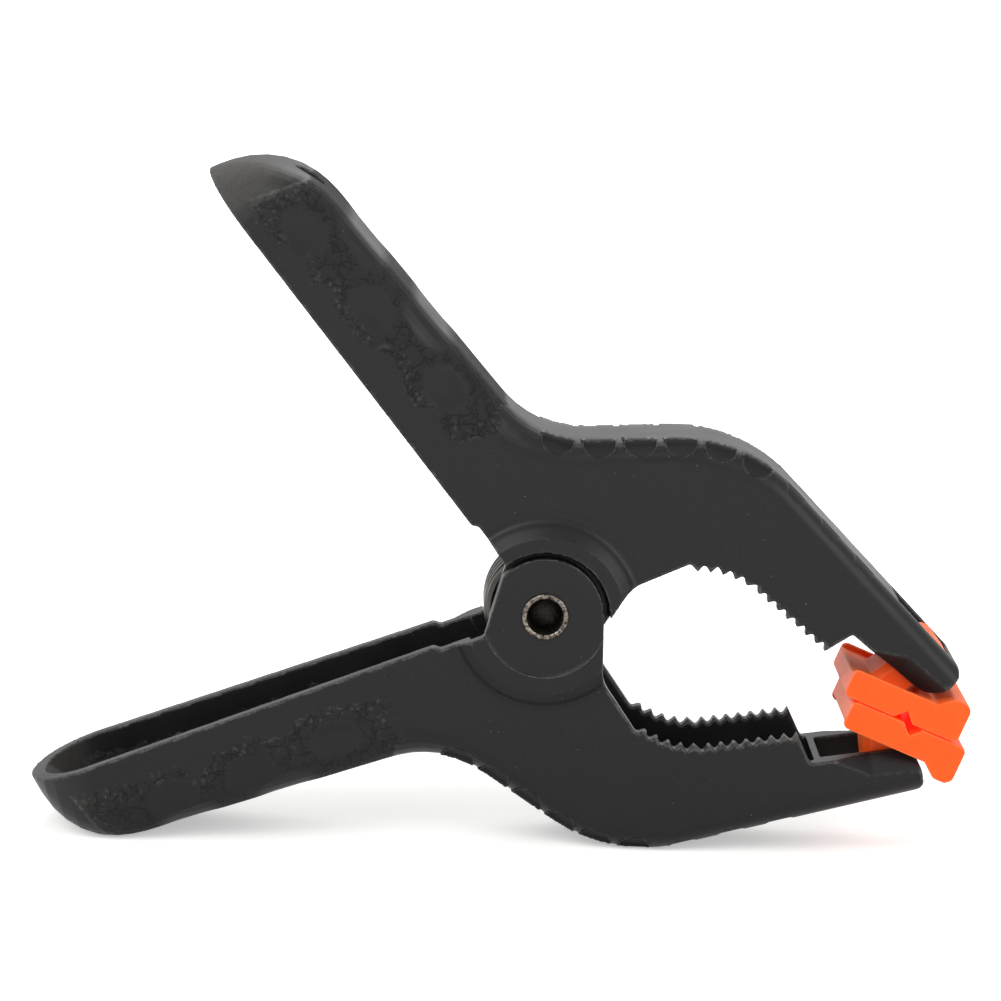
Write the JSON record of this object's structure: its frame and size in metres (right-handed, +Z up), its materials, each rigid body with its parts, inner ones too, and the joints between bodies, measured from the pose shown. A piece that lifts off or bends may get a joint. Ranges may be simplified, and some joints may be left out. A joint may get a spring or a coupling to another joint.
{
  "type": "spring clamp",
  "caption": "Spring clamp with two hollow moulded arms on a rivet, toothed throat, coil spring inside and swivelling orange jaw pads.",
  "frame": {"origin": "centre of the bounding box in X and Y, on the surface that the clamp stands on, under the lower arm's tail and hump", "axes": "+X from the handles to the jaws, +Y along the hinge axis across the clamp, +Z up from the surface that it stands on"},
  "size_m": [0.1597, 0.0286, 0.1153],
  "materials": {
    "arm_plastic": "black nylon, satin, fine spark-eroded mould texture, lighter at worn edges",
    "spring_steel": "plain spring wire, lightly oiled",
    "rivet_steel": "plated semi-tubular rivet with a rolled, slightly worn lip",
    "pad_plastic": "soft orange moulding, satin"
  },
  "bodies": {
    "lower_body": {"lower_arm": "arm_plastic", "rivet": "rivet_steel", "torsion_spring": "spring_steel"},
    "upper_body": {"upper_arm": "arm_plastic"},
    "lower_pad_body": {"lower_pad": "pad_plastic"},
    "upper_pad_body": {"upper_pad": "pad_plastic"}
  },
  "joints": [
    {"name": "jaw_open", "type": "hinge", "parent": "lower_body", "child": "upper_body", "pos_m": [0.00722, 0, 0.04102], "axis": [0, -1, 0], "range_deg": [0, 50], "stiffness_Nm_per_rad": 1.2, "springref_deg": -80.21, "deforming": ["torsion_spring"]},
    {"name": "upper_pad_swivel", "type": "hinge", "parent": "upper_body", "child": "upper_pad_body", "pos_m": [0.07093, 0, 0.03283], "axis": [0, -1, 0], "range_deg": [-2.8, 16.4]},
    {"name": "lower_pad_swivel", "type": "hinge", "parent": "lower_body", "child": "lower_pad_body", "pos_m": [0.06629, 0, 0.01579], "axis": [0, -1, 0], "range_deg": [-2.8, 16.4]}
  ],
  "couplings": [
    {"joint": "lower_pad_swivel", "follows": "upper_pad_swivel", "ratio": 1}
  ]
}
